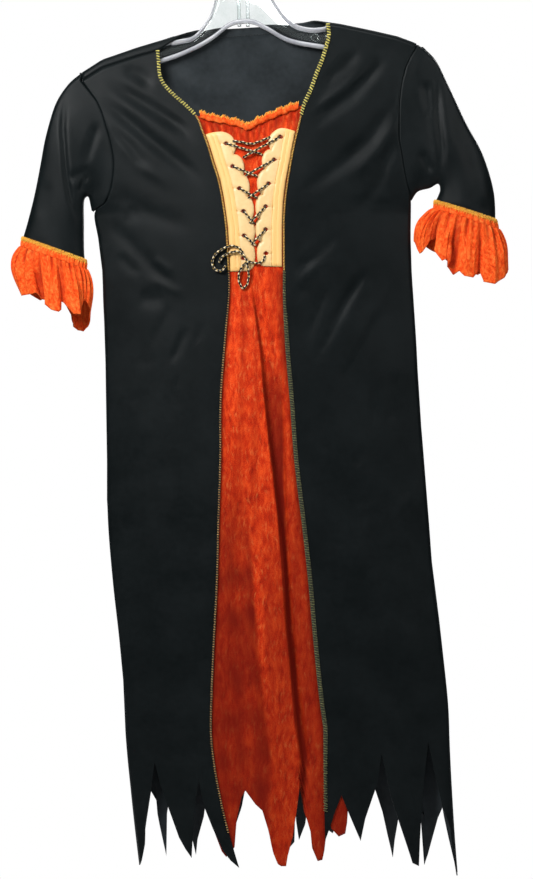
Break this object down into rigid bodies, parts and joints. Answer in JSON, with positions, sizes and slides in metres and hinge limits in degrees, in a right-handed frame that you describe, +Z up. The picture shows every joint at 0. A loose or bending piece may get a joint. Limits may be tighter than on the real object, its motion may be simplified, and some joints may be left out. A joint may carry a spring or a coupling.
{
  "type": "witch costume on a hanger",
  "caption": "Short-sleeved child's witch dress with an orange velvet front, laced satin panels and a ragged hem, hung on a clear hanger by its hook.",
  "frame": {"origin": "inside top of the hanger's hook, where a rail carries it", "axes": "+Z up, the costume's front faces -Y, +X to the right as seen from the front"},
  "size_m": [0.5259, 0.066, 1.0123],
  "materials": {
    "black_knit": "smooth polyester knit with a soft sheen",
    "crushed_velvet": "crushed panne velvet, mottled",
    "cuff_velvet": "crushed panne velvet, bright orange",
    "cream_satin": "soft satin with stitched lines",
    "gold_serging": "metallic gold and black overlock thread",
    "yellow_serging": "yellow overlock thread over gathered velvet",
    "lace_braid": "braided cord, black with gold and white flecks",
    "clear_plastic": "clear moulded plastic"
  },
  "bodies": {
    "root": {"hanger": "clear_plastic", "back": "black_knit", "front_left": "black_knit", "front_right": "black_knit", "sleeve_left": "black_knit", "sleeve_right": "black_knit", "cuff_band_left": "yellow_serging", "cuff_band_right": "yellow_serging", "cuff_ruffle_left": "cuff_velvet", "cuff_ruffle_right": "cuff_velvet", "velvet_front": "crushed_velvet", "velvet_heading": "yellow_serging", "lacing_panel_left": "cream_satin", "lacing_panel_right": "cream_satin", "edging_left": "gold_serging", "edging_right": "gold_serging", "lace_crossing_1": "lace_braid", "lace_crossing_2": "lace_braid", "lace_crossing_3": "lace_braid", "lace_crossing_4": "lace_braid", "lace_crossing_5": "lace_braid", "lace_top": "lace_braid", "lace_end_right": "lace_braid", "lace_end_left": "lace_braid"}
  },
  "joints": []
}
